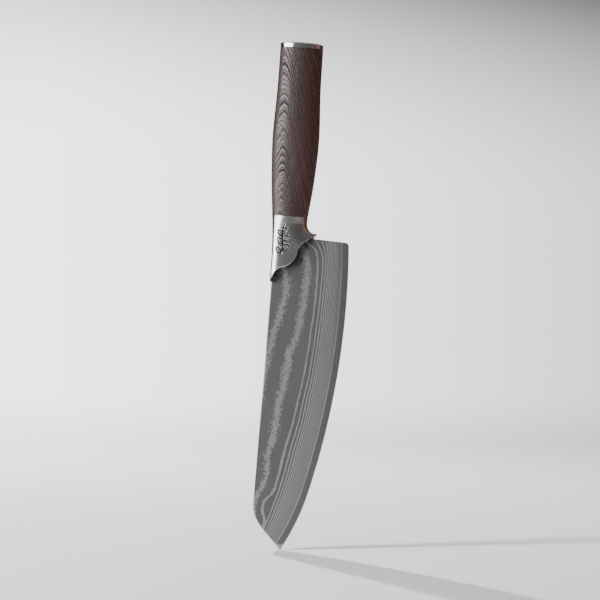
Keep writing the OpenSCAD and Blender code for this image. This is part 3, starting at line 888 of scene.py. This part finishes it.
# ---------------------------------------------------------------- floor and backdrop
# Metres: the floor's middle disc and edge, then the backdrop's radius, height and the curve up to it
FLOOR_DISC, FLOOR_R, BOWL_R, WALL_H, SWEEP_R = 0.2, 0.8, 9.0, 7.0, 3.0
STAGE_COLS = 96
PAPER_DARK, PAPER_LIGHT = grey(0.735, 0.004), grey(0.75, 0.004)
LIT_TO, GLOW_FROM = 0.42, 1.5                 # from the tip: lit this near, and glowing this far off
BACKDROP_LEFT, BACKDROP_RIGHT = 3.3, 1.45     # glow of the backdrop at its two sides
SIDE_LEFT, SIDE_RIGHT, SIDE_REACH = -0.085, 0.11, 1.9
GLOW_TOP, GLOW_GONE, GLOW_TILT = 0.55, 1.68, 0.15    # the glow fades between these heights, which tilt


def stage_coords(s):
    """Across, height and distance of a point on the stage, measured from the tip of the knife."""
    geometry = s.tree.nodes.new("ShaderNodeNewGeometry")
    away = s.node("ShaderNodeVectorMath", _0=geometry.outputs["Position"], _1=tip_point())
    away.operation = "SUBTRACT"
    parts = []
    for axis in (CAM_RIGHT, CAM_UP):
        dot = s.node("ShaderNodeVectorMath", _0=away.outputs[0], _1=axis)
        dot.operation = "DOT_PRODUCT"
        parts.append(dot.outputs["Value"])
    length = s.node("ShaderNodeVectorMath", _0=away.outputs[0])
    length.operation = "LENGTH"
    return parts[0], parts[1], length.outputs["Value"]


def stage_material(name):
    """Pale paper that is lit near the knife and glows softly further out, so that no horizon shows."""
    s = Shader(name)
    across, height, away = stage_coords(s)
    side = s.math("DIVIDE", across, s.math("ADD", away, SIDE_REACH))
    glow = s.node("ShaderNodeMapRange", _0=side, _1=SIDE_LEFT, _2=SIDE_RIGHT, _3=BACKDROP_LEFT,
                  _4=BACKDROP_RIGHT).outputs[0]
    tall = s.math("ADD", height, s.math("MULTIPLY", across, GLOW_TILT))
    glow = s.math("MULTIPLY", glow, s.step(tall, GLOW_TOP, GLOW_GONE, 1.0, 0.02))
    near = s.step(away, 0.35, 3.2, 0.66, 1.0)
    glow = s.math("MULTIPLY", glow, near)
    mottle = s.noise(s.place(), 3.0, 2, 0.5)
    lit = s.step(away, LIT_TO, GLOW_FROM, 1.0, 0.0)
    s.set(Base_Color=s.mix(lit, grey(0), s.mix(mottle, PAPER_DARK, PAPER_LIGHT)), Roughness=0.9,
          Specular_IOR_Level=0.0, Emission_Color=(1, 1, 1, 1),
          Emission_Strength=s.math("MULTIPLY", glow, s.math("SUBTRACT", 1.0, lit)))
    return s.material


def stage_disc(name, profile, material):
    """A surface of revolution about the tip, upright where the knife leans."""
    turn = Matrix((CAM_RIGHT, CAM_LOOK, CAM_UP)).transposed()
    tip = tip_point()
    verts = []
    for r, h in profile:
        for k in range(STAGE_COLS):
            a = 2 * math.pi * k / STAGE_COLS
            verts.append(tip + turn @ Vector((r * math.cos(a), r * math.sin(a), h)))
    faces = grid_faces(len(profile), STAGE_COLS, closed=True)
    if profile[0][0] < FLOOR_R:
        faces.append(list(range(STAGE_COLS))[::-1])
    mesh = bpy.data.meshes.new(name)
    mesh.from_pydata(verts, [], faces)
    mesh.shade_smooth()
    disc = bpy.data.objects.new(name, mesh)
    bpy.context.scene.collection.objects.link(disc)
    mesh.materials.append(material)
    return disc


def build_stage():
    """The floor near the knife and a bowl round it that only the camera sees, as one collection."""
    floor = stage_disc("floor", [(FLOOR_DISC, 0), (FLOOR_R, 0)], stage_material("floor"))
    sweep = [(FLOOR_R, 0)]
    for a in np.linspace(0, math.pi / 2, 16):
        sweep.append((BOWL_R - SWEEP_R + SWEEP_R * math.sin(a), SWEEP_R - SWEEP_R * math.cos(a)))
    sweep.append((BOWL_R, WALL_H))
    bowl = stage_disc("backdrop", sweep, stage_material("backdrop"))
    bowl.visible_glossy = False
    bowl.visible_diffuse = False
    bowl.visible_shadow = False
    paper = bpy.data.collections.new("paper")
    for piece in (floor, bowl):
        paper.objects.link(piece)
    return paper


# ---------------------------------------------------------------- light
AIM_HEIGHT = 0.16
# Light from all round the knife: degrees from the camera's side, with its left negative; level; warmth
SURROUNDINGS = ((-180, 0.42, 0), (-160, 0.08, 0), (-104, 0.05, -0.05), (-60, 0.22, 0), (-25, 0.14, 0),
                (5, 0.11, 0.02), (35, 0.12, 0.04), (64, 0.11, 0.14), (78, 0.235, 0.72), (92, 0.16, 0.65),
                (108, 0.05, 0.2), (140, 0.06, 0), (162, 0.25, 0), (180, 0.42, 0))
OVERHEAD_FROM, OVERHEAD_TO, OVERHEAD = 0.25, 0.75, 1.6    # the room gets lighter by this much overhead


def area_light(name, azimuth, elevation, distance, size, power, glossy=True):
    """A soft light, placed by its direction from the knife; azimuth 0 is the camera's side, 90 its right."""
    a, e = math.radians(azimuth), math.radians(elevation)
    out = (CAM_RIGHT * math.sin(a) - CAM_LOOK * math.cos(a)) * math.cos(e) + CAM_UP * math.sin(e)
    aim = tip_point() + CAM_UP * AIM_HEIGHT
    data = bpy.data.lights.new(name, "AREA")
    data.shape = "RECTANGLE"
    data.size, data.size_y = size
    data.energy = power
    light = bpy.data.objects.new(name, data)
    bpy.context.scene.collection.objects.link(light)
    light.location = aim + out * distance
    light.rotation_mode = "QUATERNION"
    light.rotation_quaternion = (-out).to_track_quat("-Z", "Y")
    light.visible_camera = False
    light.visible_glossy = glossy
    return light


def build_lights(paper):
    """A softbox that only the knife gets, two lights that throw its shadows, and a little from above."""
    softbox = area_light("softbox", -73, 8, 1.7, (1.45, 1.5), 56)
    spared = bpy.data.collections.new("spared_by_softbox")
    for piece in paper.objects:
        spared.objects.link(piece)
    for link in spared.collection_objects:
        link.light_linking.link_state = "EXCLUDE"
    softbox.light_linking.receiver_collection = spared
    side = area_light("side_light", -68, 24, 2.0, (0.4, 0.3), 85, glossy=False)
    side.light_linking.receiver_collection = paper
    area_light("back_light", -162, 26, 2.4, (0.06, 0.06), 112, glossy=False)
    area_light("top_light", 10, 84, 2.2, (1.6, 1.6), 2, glossy=False)


def build_world():
    """The room, as a level of light for each direction round the knife."""
    world = bpy.data.worlds.new("studio")
    bpy.context.scene.world = world
    world.use_nodes = True
    tree = world.node_tree
    coords = tree.nodes.new("ShaderNodeTexCoord")
    around = []
    for axis in (CAM_RIGHT, -CAM_LOOK):
        dot = tree.nodes.new("ShaderNodeVectorMath")
        dot.operation = "DOT_PRODUCT"
        dot.inputs[1].default_value = axis
        tree.links.new(coords.outputs["Generated"], dot.inputs[0])
        around.append(dot.outputs["Value"])
    angle = tree.nodes.new("ShaderNodeMath")
    angle.operation = "ARCTAN2"
    tree.links.new(around[0], angle.inputs[0])
    tree.links.new(around[1], angle.inputs[1])
    share = tree.nodes.new("ShaderNodeMapRange")
    share.inputs[1].default_value = -math.pi
    share.inputs[2].default_value = math.pi
    tree.links.new(angle.outputs[0], share.inputs[0])
    ramp = tree.nodes.new("ShaderNodeValToRGB")
    tree.links.new(share.outputs[0], ramp.inputs[0])
    stops = ramp.color_ramp.elements
    stops.remove(stops[1])
    for k, (degrees, level, warm) in enumerate(SURROUNDINGS):
        spot = (degrees + 180) / 360
        stop = stops[0] if k == 0 else stops.new(spot)
        stop.position = spot
        stop.color = (level * (1 + warm), level * (1 - 0.3 * warm), level * (1 - 0.6 * warm), 1)
    tree.links.new(ramp.outputs[0], tree.nodes["Background"].inputs[0])
    # the room is lighter overhead
    height = tree.nodes.new("ShaderNodeSeparateXYZ")
    tree.links.new(coords.outputs["Generated"], height.inputs[0])
    dim = tree.nodes.new("ShaderNodeMapRange")
    tree.links.new(height.outputs[2], dim.inputs[0])
    for socket, number in zip(dim.inputs[1:5], (OVERHEAD_FROM, OVERHEAD_TO, 1.0, OVERHEAD)):
        socket.default_value = number
    tree.links.new(dim.outputs[0], tree.nodes["Background"].inputs[1])


# ---------------------------------------------------------------- build
make_camera()
build_blade()
build_bolster()
build_grip()
build_cap()
dress_hidden_parts()
build_lights(build_stage())
build_world()
